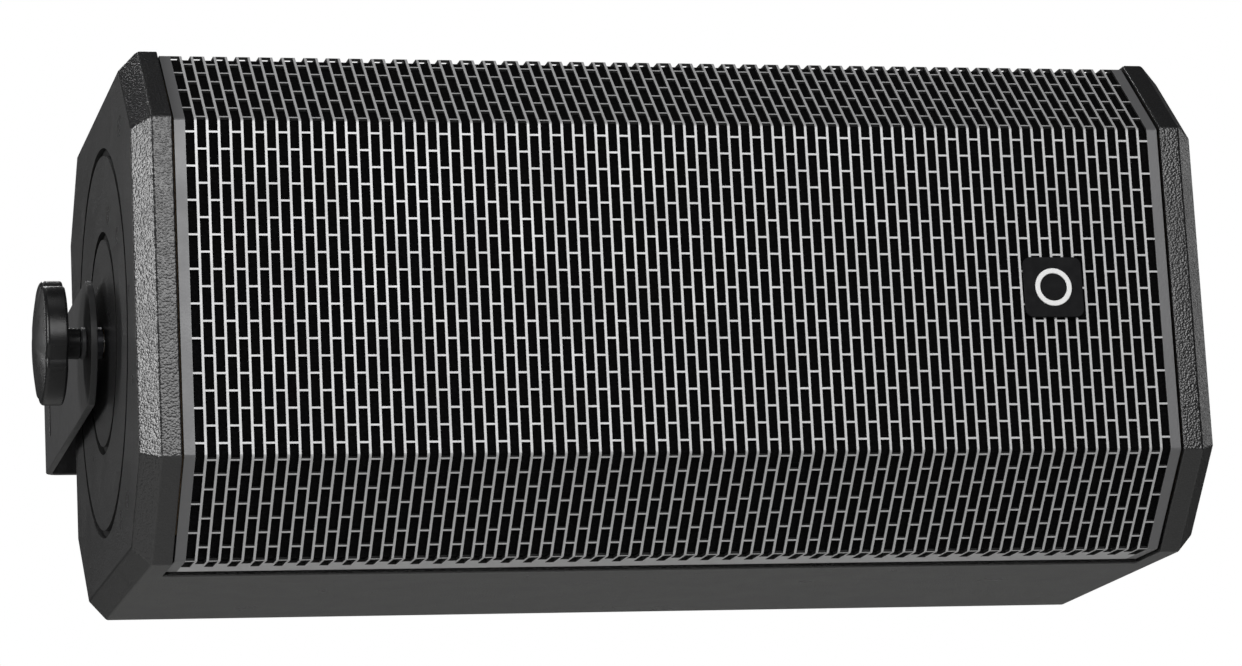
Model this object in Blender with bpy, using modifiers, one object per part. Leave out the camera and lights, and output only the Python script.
"""A compact PA loudspeaker: an eight-sided wooden cabinet with a folded steel grille, held in a steel U-bracket.

The cabinet lies on its long side, so X runs along it, its front looks along -Y, and +Z is up. The origin is the
middle of the bracket's wall face. The cabinet tilts about the line through the two clamp knobs.
"""

import math

import bmesh
import bpy
from mathutils import Matrix, Vector

# ---- Driving dimensions, in metres ----

# Cabinet: an octagonal prism with equal bevels at the front and the rear.
LENGTH = 0.450
DEPTH = 0.2224
BEVEL = 0.0370
HALF_FLAT = 0.0692  # half the height of the front flat and of the rear flat
WALL = 0.012
END_THICKNESS = 0.016
END_CHAMFER = 0.0078
HALF_DEPTH = DEPTH / 2
HALF_HEIGHT = HALF_FLAT + BEVEL
INNER_HALF_LENGTH = LENGTH / 2 - END_THICKNESS

# Front layers, as distances in from the cabinet's outline.
GRILLE_RECESS = 0.0016
GRILLE_SHEET = 0.0012
GRILLE_END_GAP = 0.0009
FOAM_OUTER = 0.0031
FOAM_INNER = 0.0077
FRAME_INSET = 0.0080
BAFFLE_FRONT = 0.0200
BAFFLE_BACK = 0.0380
LIP_END = 0.0635
REBATE_END = 0.0665

# Bracket: a bent strap whose pivot line stands off the wall.
WALL_TO_PIVOT = 0.1638
STRAP = 0.003
BRACKET_HALF_WIDTH = 0.232
BRACKET_HALF_HEIGHT = 0.0265
BRACKET_BEND = 0.005
ARM_FRONT = 0.0165  # from the pivot line to the front of the arm
ARM_FRONT_RADIUS = 0.031
SLOT_WIDTH = 0.0065
SLOT_HEIGHT = 0.026
SLOT_FROM_WALL = 0.025
WALL_HOLE_RADIUS = 0.0033
WALL_HOLES_X = (-0.150, -0.030, 0.030, 0.150)

# Clamp hardware, with distances measured outwards from the arm's outer face.
STUD_RADIUS = 0.0040
STUD_BORE = 0.0045
STUD_INNER_END = -0.0205
STUD_OUTER_END = 0.0147
WASHER_RADIUS = 0.00665
WASHER_TOP = 0.0025
HUB_BASE = 0.0028
KNOB_BASE = 0.0100
KNOB_RIM = 0.0192
KNOB_TOP = 0.0220
KNOB_RADIUS = 0.026
KNOB_LOBES = 4
KNOB_LOBE_TURN = math.radians(20)
SCALLOP_RADIUS = 0.0045
SCALLOP_CENTRE = 0.0285
INSERT_RADIUS = 0.0060
INSERT_BORE = 0.0063

# Drivers.
WOOFER_X = 0.137
WOOFER_RADIUS = 0.066
WOOFER_HOLE = 0.0597
HORN_FLANGE = 0.118
HORN_MOUTH = 0.100
HORN_HOLE = 0.109
THROAT_RADIUS = 0.0125
HORN_DEPTH = 0.058
SCREW_HOLE = 0.0022

# Rear connection plate.
PLATE_WIDTH = 0.124
PLATE_HEIGHT = 0.046
PLATE_SHEET = 0.0025
PLATE_RECESS = 0.004
PLATE_Z = -0.042
SOCKET_X = 0.028
SOCKET_RADIUS = 0.0118
SOCKET_CAVITY = 0.0100
SOCKET_CORE = 0.0040
SOCKET_DEPTH = 0.024
SOCKET_FLANGE = (0.026, 0.031)
SOCKET_FLANGE_SHEET = 0.002
SOCKET_SCREW_HOLE = 0.0016
SOCKET_SCREWS = ((-0.0096, 0.0120), (0.0096, -0.0120))  # from the socket's own middle

# Badge on the grille, near its right-hand end and at mid height.
BADGE_SIZE = 0.0255
BADGE_X = 0.1568
BADGE_RING = (0.0058, 0.0080)

BRACE_X = 0.065
BRACE_THICKNESS = 0.009

GAP = 0.0003  # clearance between touching pieces
SEGMENTS = 20

FACING_FRONT = (math.radians(90), 0, 0)
FACING_REAR = (math.radians(-90), 0, 0)
ALONG_LENGTH = (math.radians(90), 0, math.radians(90))  # outline (y, z), extruded along x
SIDES = {"left": -1, "right": 1}
CORNER_SIGNS = ((-1, -1), (-1, 1), (1, -1), (1, 1))


# ---- Scene and materials ----

def clear_scene():
    for obj in list(bpy.data.objects):
        bpy.data.objects.remove(obj, do_unlink=True)


def new_collection(name):
    made = bpy.data.collections.new(name)
    bpy.context.scene.collection.children.link(made)
    return made


def finish_of(name, colour, roughness, metallic=0.0):
    material = bpy.data.materials.new(name)
    material.use_nodes = True
    shader = material.node_tree.nodes["Principled BSDF"]
    shader.inputs["Base Color"].default_value = (*colour, 1.0)
    shader.inputs["Roughness"].default_value = roughness
    shader.inputs["Metallic"].default_value = metallic
    return material


clear_scene()
PARTS = new_collection("compact_pa_loudspeaker")
CUTTERS = new_collection("cutters")

FINISHES = {
    "cabinet_paint": finish_of("cabinet_paint", (0.030, 0.030, 0.032), 0.62),
    "bracket_paint": finish_of("bracket_paint", (0.040, 0.040, 0.043), 0.50, 0.3),
    "grille_paint": finish_of("grille_paint", (0.045, 0.045, 0.048), 0.42, 0.5),
    "bare_wood": finish_of("bare_wood", (0.45, 0.31, 0.18), 0.70),
    "foam": finish_of("foam", (0.012, 0.012, 0.013), 0.95),
    "knob_plastic": finish_of("knob_plastic", (0.018, 0.018, 0.019), 0.35),
    "nylon": finish_of("nylon", (0.015, 0.015, 0.016), 0.50),
    "bright_steel": finish_of("bright_steel", (0.62, 0.62, 0.64), 0.30, 1.0),
    "black_steel": finish_of("black_steel", (0.05, 0.05, 0.055), 0.40, 0.9),
    "brass": finish_of("brass", (0.72, 0.53, 0.24), 0.35, 1.0),
    "cast_basket": finish_of("cast_basket", (0.06, 0.06, 0.065), 0.45, 0.6),
    "ferrite": finish_of("ferrite", (0.08, 0.08, 0.085), 0.60, 0.4),
    "paper_cone": finish_of("paper_cone", (0.03, 0.03, 0.03), 0.85),
    "surround_cloth": finish_of("surround_cloth", (0.02, 0.02, 0.02), 0.90),
    "spider_cloth": finish_of("spider_cloth", (0.55, 0.38, 0.16), 0.90),
    "horn_plastic": finish_of("horn_plastic", (0.02, 0.02, 0.021), 0.45),
    "diaphragm_metal": finish_of("diaphragm_metal", (0.70, 0.70, 0.72), 0.25, 1.0),
    "board": finish_of("board", (0.02, 0.16, 0.07), 0.45),
    "copper": finish_of("copper", (0.72, 0.33, 0.16), 0.35, 1.0),
    "capacitor_film": finish_of("capacitor_film", (0.62, 0.45, 0.08), 0.40),
    "socket_plastic": finish_of("socket_plastic", (0.02, 0.02, 0.024), 0.40),
    "wadding": finish_of("wadding", (0.55, 0.55, 0.52), 0.95),
    "cable_jacket": finish_of("cable_jacket", (0.35, 0.03, 0.03), 0.50),
    "badge_black": finish_of("badge_black", (0.012, 0.012, 0.013), 0.25),
    "badge_white": finish_of("badge_white", (0.80, 0.80, 0.80), 0.40),
}


# ---- Building helpers ----

def add_part(name, data, finish, parent=None, location=(0, 0, 0), rotation=(0, 0, 0)):
    """Links one named sub-part, with its own copy of its finish."""
    material = FINISHES[finish].copy()
    material.name = name
    data.materials.clear()
    data.materials.append(material)
    obj = bpy.data.objects.new(name, data)
    obj.location = location
    obj.rotation_euler = rotation
    obj.parent = parent
    PARTS.objects.link(obj)
    return obj


def add_empty(name, parent=None, location=(0, 0, 0), rotation=(0, 0, 0)):
    empty = bpy.data.objects.new(name, None)
    empty.location = location
    empty.rotation_euler = rotation
    empty.parent = parent
    PARTS.objects.link(empty)
    return empty


def add_cutter(name, mesh, parent=None, location=(0, 0, 0), rotation=(0, 0, 0)):
    cutter = bpy.data.objects.new(name, mesh)
    cutter.location = location
    cutter.rotation_euler = rotation
    cutter.parent = parent
    cutter.hide_render = True
    cutter.display_type = "WIRE"
    CUTTERS.objects.link(cutter)
    return cutter


def combine(obj, tool, operation="DIFFERENCE"):
    boolean = obj.modifiers.new(operation.lower(), "BOOLEAN")
    boolean.operation = operation
    boolean.solver = "EXACT"
    boolean.object = tool


def mesh_from(build, *arguments):
    """A mesh made by one bmesh routine."""
    work = bmesh.new()
    build(work, *arguments)
    mesh = bpy.data.meshes.new("mesh")
    work.to_mesh(mesh)
    work.free()
    return mesh


def boxes(work, size, places):
    for place in places:
        scale = Matrix.Diagonal((*size, 1))
        bmesh.ops.create_cube(work, size=1, matrix=Matrix.Translation(place) @ scale)


def rods(work, radius, length, places, segments=12):
    """Cylinders along the local Z axis, centred on the places."""
    for place in places:
        bmesh.ops.create_cone(work, cap_ends=True, segments=segments, radius1=radius, radius2=radius,
                              depth=length, matrix=Matrix.Translation(place))


def box_mesh(size, places=((0, 0, 0),)):
    return mesh_from(boxes, size, places)


def rod_mesh(radius, length, places=((0, 0, 0),), segments=12):
    return mesh_from(rods, radius, length, places, segments)


def circle(radius, segments=SEGMENTS, centre=(0, 0)):
    turns = [math.tau * i / segments for i in range(segments)]
    return [(centre[0] + radius * math.cos(t), centre[1] + radius * math.sin(t)) for t in turns]


def arc(centre, radius, start, end, steps):
    """Points on an arc in degrees, both ends included."""
    turns = [math.radians(start + (end - start) * i / steps) for i in range(steps + 1)]
    return [(centre[0] + radius * math.cos(t), centre[1] + radius * math.sin(t)) for t in turns]


def rounded_rectangle(width, height, radius, steps=3, centre=(0, 0)):
    points = []
    for quarter, (sx, sz) in enumerate(((1, 1), (-1, 1), (-1, -1), (1, -1))):
        middle = (centre[0] + sx * (width / 2 - radius), centre[1] + sz * (height / 2 - radius))
        points += arc(middle, radius, 90 * quarter, 90 * quarter + 90, steps)
    return points


def plate_curve(outlines, thickness):
    """A flat plate from closed outlines, thickened both ways along local Z. Inner outlines are openings."""
    curve = bpy.data.curves.new("plate", "CURVE")
    curve.dimensions = "2D"
    curve.fill_mode = "BOTH"
    curve.extrude = thickness / 2
    for outline in outlines:
        spline = curve.splines.new("POLY")
        spline.points.add(len(outline) - 1)
        for point, (across, up) in zip(spline.points, outline):
            point.co = (across, up, 0, 1)
        spline.use_cyclic_u = True
    return curve


def settled_mesh(data, modify=None):
    """The evaluated mesh of a curve, or of a mesh with modifiers, with its seams welded."""
    holder = bpy.data.objects.new("holder", data)
    bpy.context.scene.collection.objects.link(holder)
    if modify:
        modify(holder)
    seen = holder.evaluated_get(bpy.context.evaluated_depsgraph_get())
    mesh = bpy.data.meshes.new_from_object(seen)
    bpy.data.objects.remove(holder, do_unlink=True)
    work = bmesh.new()
    work.from_mesh(mesh)
    bmesh.ops.remove_doubles(work, verts=work.verts, dist=0.00001)
    work.to_mesh(mesh)
    work.free()
    return mesh


def plate_mesh(outlines, thickness):
    return settled_mesh(plate_curve(outlines, thickness))


def profile_mesh(profile):
    """The chain of edges that a Screw modifier turns; a profile that leaves the axis is closed into a ring."""
    mesh = bpy.data.meshes.new("profile")
    count = len(profile)
    edges = [(i, i + 1) for i in range(count - 1)]
    touches_axis = profile[0][0] == 0 and profile[-1][0] == 0
    if not touches_axis:
        edges.append((count - 1, 0))
    mesh.from_pydata([(radius, 0, height) for radius, height in profile], edges, [])
    return mesh


def turn(obj, segments=SEGMENTS):
    screw = obj.modifiers.new("turn", "SCREW")
    screw.axis = "Z"
    screw.angle = math.tau
    screw.steps = segments
    screw.render_steps = segments
    screw.use_merge_vertices = True
    screw.merge_threshold = 0.00001


def turned_mesh(profile, segments=SEGMENTS):
    return settled_mesh(profile_mesh(profile), lambda holder: turn(holder, segments))


def add_turned(name, profile, finish, parent, location=(0, 0, 0), rotation=(0, 0, 0), segments=SEGMENTS):
    obj = add_part(name, profile_mesh(profile), finish, parent, location, rotation)
    turn(obj, segments)
    return obj


def smooth_route(points, spacing):
    """Evenly spaced points on a Catmull-Rom curve through the route's own points."""
    knots = [Vector(p) for p in points]
    knots = [2 * knots[0] - knots[1], *knots, 2 * knots[-1] - knots[-2]]
    route = []
    for before, start, end, after in zip(knots, knots[1:], knots[2:], knots[3:]):
        steps = max(2, round((end - start).length / spacing))
        for step in range(steps):
            t = step / steps
            linear = (end - before) * t
            square = (2 * before - 5 * start + 4 * end - after) * t * t
            cube = (3 * start - before - 3 * end + after) * t * t * t
            route.append(start + (linear + square + cube) / 2)
    route.append(knots[-2])
    return route


def add_wire(name, points, radius, parent):
    curve = bpy.data.curves.new(name, "CURVE")
    curve.dimensions = "3D"
    curve.bevel_depth = radius
    curve.bevel_resolution = 2
    curve.use_fill_caps = True
    route = smooth_route(points, 6 * radius)
    spline = curve.splines.new("POLY")
    spline.points.add(len(route) - 1)
    for point, place in zip(spline.points, route):
        point.co = (*place, 1)
    return add_part(name, curve, "cable_jacket", parent)


# ---- Cabinet geometry, relative to the tilt axis ----

def at_depth(distance):
    """The y of a point this far behind the cabinet's front face."""
    return distance - HALF_DEPTH


def section(inset=0.0):
    """The cross-section's eight corners (y, z), moved in by inset, from the front's top edge over the top."""
    corner_shift = inset * math.tan(math.radians(22.5))
    deep = HALF_DEPTH - inset
    high = HALF_HEIGHT - inset
    flat_z = HALF_FLAT - corner_shift
    flat_y = HALF_DEPTH - BEVEL - corner_shift
    upper = [(-deep, flat_z), (-flat_y, high), (flat_y, high), (deep, flat_z)]
    lower = [(y, -z) for y, z in reversed(upper)]
    return upper + lower


def bevel_y(z, inset):
    """Where the front bevel, moved in by inset, reaches the height z."""
    return z - HALF_FLAT + inset * math.sqrt(2) - HALF_DEPTH


def mirrored_down(points):
    return [(y, -z) for y, z in points]


def add_section_part(name, outline, finish, parent, length=2 * (INNER_HALF_LENGTH - GAP)):
    """A piece of constant (y, z) outline that runs along the cabinet."""
    return add_part(name, plate_mesh([outline], length), finish, parent, rotation=ALONG_LENGTH)


def wall_outline(first):
    """A mitred wall between corner number first and the next one, with half a gap at each mitre."""
    outer = [Vector(corner) for corner in section()[first:first + 2]]
    inner = [Vector(corner) for corner in section(WALL)[first:first + 2]]
    along = (outer[1] - outer[0]).normalized() * GAP * 0.6
    points = (outer[0] + along, outer[1] - along, inner[1] - along, inner[0] + along)
    return [tuple(point) for point in points]


def top_outline():
    """The top wall, with the rebate that the grille's lip lies in and a front edge that backs the foam."""
    rear_outer, rear_inner = wall_outline(1)[1:3]
    floor = HALF_HEIGHT - FOAM_OUTER
    inner = HALF_HEIGHT - WALL
    return [
        (bevel_y(inner, FRAME_INSET), inner),
        (bevel_y(floor, FRAME_INSET), floor),
        (at_depth(REBATE_END), floor),
        (at_depth(REBATE_END), HALF_HEIGHT),
        rear_outer,
        rear_inner,
    ]


def add_walls(cabinet):
    add_section_part("top_panel", top_outline(), "bare_wood", cabinet)
    add_section_part("bottom_panel", mirrored_down(top_outline()), "bare_wood", cabinet)
    add_section_part("rear_bevel_upper", wall_outline(2), "bare_wood", cabinet)
    add_section_part("rear_bevel_lower", wall_outline(4), "bare_wood", cabinet)


def add_end_panel(side, cabinet):
    """An end panel with its outer edges chamfered and a bore for the clamp stud's insert."""
    mesh = plate_mesh([section()], END_THICKNESS)
    weights = mesh.attributes.new("bevel_weight_edge", "FLOAT", "EDGE")
    for edge, weight in zip(mesh.edges, weights.data):
        weight.value = float(all(mesh.vertices[v].co.z > 0 for v in edge.vertices))
    turn_about_z = 0 if SIDES[side] > 0 else math.pi
    x = SIDES[side] * (LENGTH - END_THICKNESS) / 2
    rotation = (math.radians(90), 0, math.radians(90) + turn_about_z)
    panel = add_part(f"end_panel_{side}", mesh, "bare_wood", cabinet, (x, 0, 0), rotation)
    chamfer = panel.modifiers.new("chamfer", "BEVEL")
    chamfer.limit_method = "WEIGHT"
    chamfer.width = END_CHAMFER
    chamfer.segments = 1
    bore = rod_mesh(INSERT_BORE, 2 * END_THICKNESS, segments=16)
    combine(panel, add_cutter("insert_bore", bore, cabinet, (x, 0, 0), rotation))


def add_rear_panel(cabinet):
    panel = add_section_part("rear_panel", wall_outline(3), "bare_wood", cabinet)
    recess = PLATE_RECESS + PLATE_SHEET + GAP
    place = (0, HALF_DEPTH, PLATE_Z)
    rebate = box_mesh((PLATE_WIDTH + 2 * GAP, 2 * recess, PLATE_HEIGHT + 2 * GAP))
    opening = box_mesh((PLATE_WIDTH - 0.018, 4 * WALL, PLATE_HEIGHT - 0.014))
    combine(panel, add_cutter("plate_rebate", rebate, cabinet, place))
    combine(panel, add_cutter("plate_opening", opening, cabinet, place))
    pilots = rod_mesh(SCREW_HOLE, 4 * WALL, plate_screw_places())
    combine(panel, add_cutter("plate_pilots", pilots, cabinet, (0, HALF_DEPTH, 0), FACING_REAR))


def plate_screw_places():
    """In the rear plate's own frame, whose second axis points down."""
    half_width = PLATE_WIDTH / 2 - 0.0045
    half_height = PLATE_HEIGHT / 2 - 0.0045
    return [(sx * half_width, -PLATE_Z + sz * half_height, 0) for sx, sz in CORNER_SIGNS]


def add_baffle(cabinet):
    edge = HALF_HEIGHT - WALL - GAP
    front_edge = HALF_FLAT + BAFFLE_FRONT - FRAME_INSET * math.sqrt(2)
    upper = [(at_depth(BAFFLE_FRONT), front_edge), (bevel_y(edge, FRAME_INSET), edge), (at_depth(BAFFLE_BACK), edge)]
    outline = upper + mirrored_down(reversed(upper))
    baffle = add_section_part("front_baffle", outline, "bare_wood", cabinet)
    middle = (0, at_depth(BAFFLE_FRONT), 0)
    woofers = rod_mesh(WOOFER_HOLE, 0.1, [(side * WOOFER_X, 0, 0) for side in SIDES.values()], 32)
    horn = plate_mesh([rounded_rectangle(HORN_HOLE, HORN_HOLE, 0.012)], 0.1)
    for name, mesh in (("woofer_openings", woofers), ("horn_opening", horn)):
        combine(baffle, add_cutter(name, mesh, cabinet, middle, FACING_FRONT))


def add_braces(cabinet):
    inner = section(WALL + GAP)
    front = [(at_depth(BAFFLE_BACK + GAP), -inner[1][1]), (at_depth(BAFFLE_BACK + GAP), inner[1][1])]
    outline = front + inner[2:6]
    window = rounded_rectangle(0.130, 0.120, 0.020, centre=(at_depth(0.125), 0))
    for side, sign in SIDES.items():
        mesh = plate_mesh([outline, window], BRACE_THICKNESS)
        add_part(f"brace_{side}", mesh, "bare_wood", cabinet, (sign * BRACE_X, 0, 0), ALONG_LENGTH)


# ---- Grille, foam and badge ----

def add_grille(cabinet):
    """One folded sheet: a lip on the top, the upper bevel, the front, the lower bevel and a lip below."""
    folds = section(GRILLE_RECESS)
    upper = [(at_depth(LIP_END), folds[1][1]), folds[1], folds[0]]
    line = upper + mirrored_down(reversed(upper))
    half = INNER_HALF_LENGTH - GRILLE_END_GAP
    mesh = bpy.data.meshes.new("grille")
    vertices = [(x, y, z) for x in (-half, half) for y, z in line]
    count = len(line)
    faces = [(i, i + 1, i + 1 + count, i + count) for i in range(count - 1)]
    mesh.from_pydata(vertices, [], faces)
    grille = add_part("grille", mesh, "grille_paint", cabinet)
    sheet = grille.modifiers.new("sheet", "SOLIDIFY")
    sheet.thickness = GRILLE_SHEET
    sheet.offset = -1
    sheet.use_even_offset = True


def add_foam(cabinet):
    outer = section(FOAM_OUTER)
    inner = section(FOAM_INNER)
    end = outer[1][1]
    upper = [inner[0], (bevel_y(end, FOAM_INNER), end), outer[1], outer[0]]
    outline = upper + mirrored_down(reversed(upper))
    add_section_part("grille_foam", outline, "foam", cabinet, 2 * (INNER_HALF_LENGTH - 0.003))


def add_badge(cabinet):
    """A rounded square plate with a plain ring let into its face."""
    thickness = GRILLE_RECESS - GAP
    place = (BADGE_X, at_depth(thickness / 2), 0)
    outline = rounded_rectangle(BADGE_SIZE, BADGE_SIZE, 0.0035)
    badge = add_part("badge_plate", plate_mesh([outline], thickness), "badge_black", cabinet, place, FACING_FRONT)
    inner, outer = BADGE_RING
    groove = plate_mesh([circle(outer + GAP), circle(inner - GAP)], thickness)
    groove_place = (BADGE_X, at_depth(-thickness / 2 + 0.0008), 0)
    combine(badge, add_cutter("badge_groove", groove, cabinet, groove_place, FACING_FRONT))
    ring = plate_mesh([circle(outer), circle(inner)], 0.0005)
    add_part("badge_ring", ring, "badge_white", cabinet, (BADGE_X, at_depth(0.00025), 0), FACING_FRONT)


# ---- Woofers: local +Z points out of the front, from the baffle's face ----

BASKET_REAR = -0.0395
CONE_FRONT = [(0.0455, 0.0010), (0.0129, -0.0175)]
CONE_BACK = [(0.0136, -0.0190), (0.0462, 0.0000)]


def add_basket(name, parent):
    profile = [
        (WOOFER_RADIUS, 0.0035),
        (WOOFER_RADIUS, GAP),
        (0.0588, GAP),
        (0.0575, -0.0060),
        (0.0420, -0.0360),
        (0.0420, BASKET_REAR),
        (0.0160, BASKET_REAR),
        (0.0160, -0.0375),
        (0.0395, -0.0375),
        (0.0395, -0.0355),
        (0.0550, -0.0060),
        (0.0568, 0.0035),
    ]
    basket = add_turned(name, profile, "cast_basket", parent)
    windows = mesh_from(basket_windows)
    combine(basket, add_cutter("basket_windows", windows, parent))


def basket_windows(work):
    """Six openings between the basket's arms, cut by radial blocks that stop short of the flange."""
    for index in range(6):
        spin = Matrix.Rotation(math.radians(60 * index), 4, "Z")
        size = Matrix.Diagonal((0.040, 0.030, 0.020, 1))
        place = Matrix.Translation((0.060, 0, -0.0210))
        bmesh.ops.create_cube(work, size=1, matrix=spin @ place @ size)


def add_magnet(name, parent):
    """The top plate, magnet ring, back plate and pole, with the annular gap that the voice coil moves in."""
    front = BASKET_REAR - GAP
    profile = [
        (0, front),
        (0.0122, front),
        (0.0122, -0.0600),
        (0.0220, -0.0600),
        (0.0220, -0.0450),
        (0.0144, -0.0450),
        (0.0144, front),
        (0.0400, front),
        (0.0400, -0.0450),
        (0.0450, -0.0450),
        (0.0450, -0.0590),
        (0.0400, -0.0590),
        (0.0400, -0.0640),
        (0, -0.0640),
    ]
    add_turned(name, profile, "ferrite", parent)


def add_surround(name, parent):
    """A half-roll between the cone's edge and the basket's rim."""
    middle, roll, sheet = 0.0511, 0.0038, 0.0008
    outer = arc((middle, 0), roll, 180, 0, 4)
    inner = arc((middle, 0), roll - sheet, 0, 180, 4)
    profile = outer + [(0.0554, 0.0), (0.0554, -sheet)] + [(middle + roll - sheet, -sheet)]
    profile += inner + [(middle - roll + sheet, -sheet), (0.0467, -sheet), (0.0467, 0.0)]
    add_turned(name, profile, "surround_cloth", parent)


def add_spider(name, parent):
    """A corrugated ring that centres the voice coil."""
    waves = 2
    inner, outer, level, height, sheet = 0.0146, 0.0415, -0.0300, 0.0009, 0.0007
    steps = 2 * waves
    radii = [inner + (outer - inner) * i / steps for i in range(steps + 1)]
    heights = [level + height * (-1) ** i for i in range(steps + 1)]
    top = list(zip(radii, heights))
    bottom = [(r, z - sheet) for r, z in reversed(top)]
    add_turned(name, top + bottom, "spider_cloth", parent)


def add_cone(name, parent):
    """The paper cone with the voice coil's former behind it."""
    former = [(0.0136, -0.0470), (0.0129, -0.0470)]
    profile = [CONE_BACK[1], CONE_BACK[0], *former, CONE_FRONT[1], CONE_FRONT[0]]
    add_turned(name, profile, "paper_cone", parent)


def add_dust_cap(name, parent):
    base, rise, radius, sheet = -0.0138, 0.0060, 0.0185, 0.0007
    steps = 3
    turns = [math.pi / 2 * i / steps for i in range(steps + 1)]
    outside = [(radius * math.sin(t), base + rise * math.cos(t)) for t in turns]
    inside = [((radius - sheet) * math.sin(t), base + (rise - sheet) * math.cos(t)) for t in reversed(turns)]
    outside[0] = (0, base + rise)
    inside[-1] = (0, base + rise - sheet)
    add_turned(name, outside + inside, "paper_cone", parent, segments=16)


def add_woofer(side, cabinet):
    centre = (SIDES[side] * WOOFER_X, at_depth(BAFFLE_FRONT), 0)
    axis = add_empty(f"woofer_axis_{side}", cabinet, centre, FACING_FRONT)
    add_basket(f"woofer_basket_{side}", axis)
    add_magnet(f"woofer_magnet_{side}", axis)
    add_surround(f"woofer_surround_{side}", axis)
    add_spider(f"woofer_spider_{side}", axis)
    add_cone(f"woofer_cone_{side}", axis)
    add_dust_cap(f"woofer_dust_cap_{side}", axis)


# ---- Horn and compression driver ----

def horn_ring(half_size, roundness, height, count=20):
    """A ring of points that goes from a circle (roundness 2) towards a square (higher roundness)."""
    ring = []
    for index in range(count):
        angle = math.tau * (index + 0.5) / count
        c, s = math.cos(angle), math.sin(angle)
        reach = half_size / (abs(c) ** roundness + abs(s) ** roundness) ** (1 / roundness)
        ring.append((reach * c, reach * s, height))
    return ring


def horn_surface(work):
    """A flare from the round throat to the squared mouth, then out to the edge of the flange."""
    mouth_height = 0.0035
    flare_steps = 5
    rings = []
    for step in range(flare_steps + 1):
        t = step / flare_steps
        half_size = THROAT_RADIUS + (HORN_MOUTH / 2 - THROAT_RADIUS) * t ** 1.6
        height = -HORN_DEPTH + (HORN_DEPTH + mouth_height) * t
        rings.append(horn_ring(half_size, 2 + 5 * t, height))
    rings.append(horn_ring(HORN_FLANGE / 2, 14, mouth_height))
    loops = [[work.verts.new(point) for point in ring] for ring in rings]
    for lower, upper in zip(loops, loops[1:]):
        for i in range(len(lower)):
            j = (i + 1) % len(lower)
            work.faces.new((lower[j], lower[i], upper[i], upper[j]))


def add_horn(cabinet):
    horn = add_part("horn", mesh_from(horn_surface), "horn_plastic", cabinet, (0, at_depth(BAFFLE_FRONT), 0),
                    FACING_FRONT)
    wall = horn.modifiers.new("wall", "SOLIDIFY")
    wall.thickness = 0.0026
    wall.offset = -1


def add_compression_driver(cabinet):
    """A flanged body whose cavity opens forward through the throat, and the domed diaphragm inside it."""
    axis = add_empty("driver_axis", cabinet, (0, at_depth(BAFFLE_FRONT), 0), FACING_FRONT)
    face = -HORN_DEPTH - 0.0010
    body = [
        (0, face - 0.0310),
        (0.0260, face - 0.0310),
        (0.0260, face - 0.0210),
        (THROAT_RADIUS, face - 0.0190),
        (THROAT_RADIUS, face),
        (0.0240, face),
        (0.0240, face - 0.0050),
        (0.0390, face - 0.0050),
        (0.0390, face - 0.0390),
        (0.0360, face - 0.0410),
        (0, face - 0.0410),
    ]
    add_turned("compression_driver", body, "cast_basket", axis)
    steps, radius, rise, sheet = 3, 0.0215, 0.0050, 0.0006
    turns = [math.pi / 2 * i / steps for i in range(steps)]
    base = face - 0.0290
    outside = [(radius * math.sin(t), base + sheet + rise * math.cos(t)) for t in turns]
    inside = [(radius * math.sin(t), base + rise * math.cos(t)) for t in reversed(turns)]
    edge = [(0.0235, base + sheet), (0.0235, base)]
    add_turned("driver_diaphragm", outside + edge + inside, "diaphragm_metal", axis, segments=16)


# ---- Crossover, connection plate, leads and damping ----

BOARD_DEPTH = 0.1355
BOARD_TOP = -HALF_HEIGHT + WALL + 0.0076
BOARD_SIZE = (0.110, 0.075, 0.0016)


def add_crossover(cabinet):
    """The board on its four feet, two air-cored coils standing on it and three capacitors lying on it."""
    middle = at_depth(BOARD_DEPTH)
    place = (0, middle, BOARD_TOP - BOARD_SIZE[2] / 2)
    board = add_part("crossover_board", box_mesh(BOARD_SIZE), "board", cabinet, place)
    foot_length = BOARD_TOP + HALF_HEIGHT - WALL - GAP
    offset_x = BOARD_SIZE[0] / 2 - 0.006
    offset_y = BOARD_SIZE[1] / 2 - 0.006
    feet_z = (BOARD_SIZE[2] * 0.9 - foot_length) / 2
    feet = [(sx * offset_x, sy * offset_y, feet_z) for sx, sy in CORNER_SIGNS]
    feet_length = foot_length - BOARD_SIZE[2] * 0.6
    combine(board, add_cutter("board_feet", rod_mesh(0.003, feet_length, feet, 10), cabinet, place), "UNION")
    for name, x, y, size in (("coil_large", -0.034, 0.016, 1.0), ("coil_small", 0.036, 0.018, 0.85)):
        add_coil(name, size, cabinet, (x, middle + y, BOARD_TOP + GAP))
    capacitor_radius = 0.0065
    capacitor = rod_mesh(capacitor_radius, 0.028, segments=14)
    lying = (0, math.radians(90), 0)
    for number, (x, y) in enumerate(((-0.034, -0.018), (0.002, -0.024), (0.036, -0.018)), 1):
        spot = (x, middle + y, BOARD_TOP + GAP + capacitor_radius)
        add_part(f"capacitor_{number}", capacitor.copy(), "capacitor_film", cabinet, spot, lying)


def add_coil(name, size, cabinet, place):
    outer, inner, height = 0.0150 * size, 0.0070 * size, 0.0140 * size
    add_turned(name, [(outer, height), (outer, 0), (inner, 0), (inner, height)], "copper", cabinet, place,
               segments=16)


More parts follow.
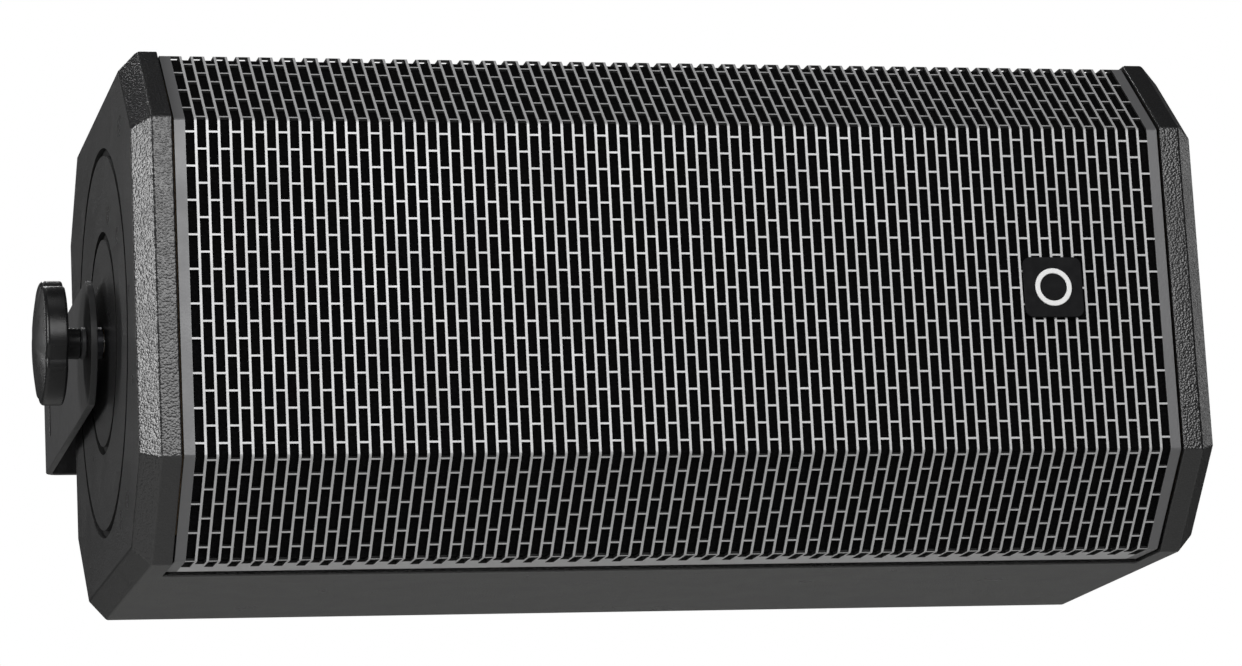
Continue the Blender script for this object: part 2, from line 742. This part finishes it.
def add_socket(name, x, plate):
    """A round locking socket: a flange on the plate, a body behind it, and a ring-shaped cavity round a core."""
    flange = plate_mesh([rounded_rectangle(*SOCKET_FLANGE, 0.003, centre=(x, 0))], SOCKET_FLANGE_SHEET)
    flange.transform(Matrix.Translation((0, 0, GAP + SOCKET_FLANGE_SHEET / 2)))
    socket = add_part(name, flange, "socket_plastic", plate)
    body = rod_mesh(SOCKET_RADIUS, SOCKET_DEPTH, segments=24)
    place = (x, 0, SOCKET_FLANGE_SHEET * 0.9 - SOCKET_DEPTH / 2)
    combine(socket, add_cutter("socket_body", body, plate, place), "UNION")
    ring = [circle(SOCKET_CAVITY, 24), circle(SOCKET_CORE, 16)]
    cavity = add_cutter("socket_cavity", plate_mesh(ring, 0.040), plate, (x, 0, 0.0040))
    combine(socket, cavity)
    holes = rod_mesh(SOCKET_SCREW_HOLE, 0.02, [(x + dx, dy, 0) for dx, dy in SOCKET_SCREWS], 8)
    combine(socket, add_cutter("socket_screw_holes", holes, plate))


def screw_mesh(head_radius, head_height, shank_radius, shank_length):
    """A pan-head screw along local Z, its head resting a gap above the plate."""
    base = GAP
    profile = [
        (0, base + head_height),
        (head_radius * 0.6, base + head_height),
        (head_radius, base + head_height * 0.4),
        (head_radius, base),
        (shank_radius, base),
        (shank_radius, base - shank_length),
        (0, base - shank_length),
    ]
    return turned_mesh(profile, 10)


def add_connection_plate(cabinet):
    face = HALF_DEPTH - PLATE_RECESS
    plate = add_empty("plate_frame", cabinet, (0, face, PLATE_Z), FACING_REAR)
    outline = rounded_rectangle(PLATE_WIDTH, PLATE_HEIGHT, 0.002)
    holes = [circle(SOCKET_RADIUS + GAP, 24, (sign * SOCKET_X, 0)) for sign in SIDES.values()]
    socket_screws = [(sign * SOCKET_X + dx, dy) for sign in SIDES.values() for dx, dy in SOCKET_SCREWS]
    holes += [circle(SOCKET_SCREW_HOLE, 8, spot) for spot in socket_screws]
    corners = [(x, z + PLATE_Z) for x, z, _ in plate_screw_places()]
    holes += [circle(SCREW_HOLE, 8, spot) for spot in corners]
    sheet = plate_mesh([outline, *holes], PLATE_SHEET)
    sheet.transform(Matrix.Translation((0, 0, -PLATE_SHEET / 2)))
    add_part("input_plate", sheet, "bracket_paint", plate)
    for name, sign in (("socket_in", -1), ("socket_through", 1)):
        add_socket(name, sign * SOCKET_X, plate)
    for number, (x, y) in enumerate(corners, 1):
        add_part(f"plate_screw_{number}", screw_mesh(0.0034, 0.0018, 0.0018, 0.0120), "black_steel", plate, (x, y, 0))


def add_damping(cabinet):
    size = (0.120, 0.010, 0.106)
    y = HALF_DEPTH - WALL - GAP - size[1] / 2
    for side, sign in SIDES.items():
        add_part(f"damping_pad_{side}", box_mesh(size), "wadding", cabinet, (sign * WOOFER_X, y, 0))


def add_leads(cabinet):
    """Internal leads from the crossover to each driver, and from the input socket to the crossover."""
    clear_of_board = BOARD_TOP + 0.0026
    for side, sign in SIDES.items():
        route = [
            (sign * 0.050, at_depth(0.1040), clear_of_board + 0.002),
            (sign * 0.054, at_depth(0.1040), -0.0580),
            (sign * 0.066, at_depth(0.1020), -0.0460),
            (sign * 0.080, at_depth(0.0900), -0.0400),
            (sign * 0.0890, at_depth(0.0640), -0.0280),
            (sign * 0.0895, at_depth(0.0520), -0.0200),
        ]
        add_wire(f"woofer_lead_{side}", route, 0.0018, cabinet)
    driver_route = [
        (0.010, at_depth(0.1330), clear_of_board + 0.002),
        (0.010, at_depth(0.1400), -0.0600),
        (0.010, at_depth(0.1360), -0.0300),
        (0.010, at_depth(0.1240), -0.0180),
    ]
    add_wire("driver_lead", driver_route, 0.0018, cabinet)
    input_route = [
        (-SOCKET_X, at_depth(0.1915), PLATE_Z),
        (-SOCKET_X, at_depth(0.1840), PLATE_Z - 0.004),
        (-0.016, at_depth(0.1760), -0.0660),
        (-0.008, at_depth(0.1660), clear_of_board + 0.002),
    ]
    add_wire("input_lead", input_route, 0.0018, cabinet)


# ---- Bracket ----

def bracket_surface(work):
    """The strap's outer surface, seen from above as a U, drawn as a line and pulled up to its height."""
    half, bend = BRACKET_HALF_WIDTH, BRACKET_BEND
    front = -WALL_TO_PIVOT - ARM_FRONT
    line = [(-half, front)]
    line += arc((-half + bend, -bend), bend, 180, 90, 4)
    line += arc((half - bend, -bend), bend, 90, 0, 4)
    line += [(half, front)]
    verts = [work.verts.new((x, y, -BRACKET_HALF_HEIGHT)) for x, y in line]
    edges = [work.edges.new(pair) for pair in zip(verts, verts[1:])]
    pulled = bmesh.ops.extrude_edge_only(work, edges=edges)["geom"]
    top = [item for item in pulled if isinstance(item, bmesh.types.BMVert)]
    bmesh.ops.translate(work, verts=top, vec=(0, 0, 2 * BRACKET_HALF_HEIGHT))
    bmesh.ops.recalc_face_normals(work, faces=work.faces)


def arm_outline():
    """The arm seen from the side, in (y, z): straight edges and a shallow arc at the front."""
    centre = -WALL_TO_PIVOT - ARM_FRONT + ARM_FRONT_RADIUS
    spread = math.degrees(math.asin(BRACKET_HALF_HEIGHT / ARM_FRONT_RADIUS))
    front = arc((centre, 0), ARM_FRONT_RADIUS, 180 + spread, 180 - spread, 10)
    return front + [(0.01, BRACKET_HALF_HEIGHT), (0.01, -BRACKET_HALF_HEIGHT)]


def add_bracket():
    bracket = add_part("u_bracket", mesh_from(bracket_surface), "bracket_paint")
    sheet = bracket.modifiers.new("sheet", "SOLIDIFY")
    sheet.thickness = STRAP
    sheet.offset = -1
    sheet.use_even_offset = True
    along = 4 * BRACKET_HALF_WIDTH
    trim = add_cutter("arm_trim", plate_mesh([arm_outline()], along), rotation=ALONG_LENGTH)
    combine(bracket, trim, "INTERSECT")
    pivot = rod_mesh(STUD_BORE, along, segments=16)
    combine(bracket, add_cutter("pivot_bore", pivot, None, (0, -WALL_TO_PIVOT, 0), ALONG_LENGTH))
    slot = box_mesh((along, SLOT_WIDTH, SLOT_HEIGHT))
    combine(bracket, add_cutter("arm_slots", slot, None, (0, -SLOT_FROM_WALL, 0)))
    holes = rod_mesh(WALL_HOLE_RADIUS, 4 * STRAP, [(x, 0, 0) for x in WALL_HOLES_X], 16)
    combine(bracket, add_cutter("wall_holes", holes, None, (0, 0, 0), FACING_FRONT))


# ---- Clamp hardware: local +Z points outwards, from the arm's outer face ----

def ring_profile(outer, inner, top, bottom):
    return [(outer, top), (outer, bottom), (inner, bottom), (inner, top)]


def knob_profile():
    """A domed disc on a hub, bored for the stud."""
    steps = 3
    edge = 0.0015
    dome_radius = KNOB_RADIUS - edge
    dome_edge = KNOB_RIM + 0.0006
    dome = []
    for step in range(steps + 1):
        t = step / steps
        dome.append((dome_radius * t, KNOB_TOP - (KNOB_TOP - dome_edge) * t * t))
    return dome + [
        (KNOB_RADIUS, KNOB_RIM - edge),
        (KNOB_RADIUS, KNOB_BASE + edge),
        (KNOB_RADIUS - edge, KNOB_BASE),
        (WASHER_RADIUS, KNOB_BASE),
        (WASHER_RADIUS, HUB_BASE),
        (STUD_RADIUS + GAP, HUB_BASE),
        (STUD_RADIUS + GAP, STUD_OUTER_END + GAP),
        (0, STUD_OUTER_END + GAP),
    ]


def add_knob(side, axis):
    knob = add_turned(f"knob_{side}", knob_profile(), "knob_plastic", axis, segments=32)
    places = []
    for lobe in range(KNOB_LOBES):
        angle = KNOB_LOBE_TURN + math.tau * (lobe + 0.5) / KNOB_LOBES
        places.append((SCALLOP_CENTRE * math.cos(angle), SCALLOP_CENTRE * math.sin(angle), KNOB_RIM))
    combine(knob, add_cutter("knob_scallops", rod_mesh(SCALLOP_RADIUS, 0.03, places, 20), axis))


def add_clamp(side, cabinet):
    sign = SIDES[side]
    rotation = (0, sign * math.radians(90), 0)
    axis = add_empty(f"clamp_axis_{side}", cabinet, (sign * BRACKET_HALF_WIDTH, 0, 0), rotation)
    add_knob(side, axis)
    stud_length = STUD_OUTER_END - STUD_INNER_END
    stud = rod_mesh(STUD_RADIUS, stud_length, [(0, 0, STUD_INNER_END + stud_length / 2)], 16)
    add_part(f"clamp_stud_{side}", stud, "bright_steel", axis)
    bore = STUD_RADIUS + GAP
    washer = ring_profile(WASHER_RADIUS, bore, WASHER_TOP, GAP)
    add_turned(f"clamp_washer_{side}", washer, "nylon", axis, segments=16)
    end_face = LENGTH / 2 - BRACKET_HALF_WIDTH
    spacer = ring_profile(WASHER_RADIUS, bore, -STRAP - GAP, end_face + GAP)
    add_turned(f"pivot_spacer_{side}", spacer, "black_steel", axis, segments=16)
    insert = ring_profile(INSERT_RADIUS, bore, end_face - GAP, end_face - END_THICKNESS + 0.002)
    add_turned(f"threaded_insert_{side}", insert, "brass", axis, segments=16)


# ---- Assembly ----

def build():
    add_bracket()
    cabinet = add_empty("cabinet_pivot", location=(0, -WALL_TO_PIVOT, 0))
    add_walls(cabinet)
    add_rear_panel(cabinet)
    add_baffle(cabinet)
    add_braces(cabinet)
    add_grille(cabinet)
    add_foam(cabinet)
    add_badge(cabinet)
    add_horn(cabinet)
    add_compression_driver(cabinet)
    add_crossover(cabinet)
    add_connection_plate(cabinet)
    add_damping(cabinet)
    add_leads(cabinet)
    for side in SIDES:
        add_end_panel(side, cabinet)
        add_woofer(side, cabinet)
        add_clamp(side, cabinet)


build()
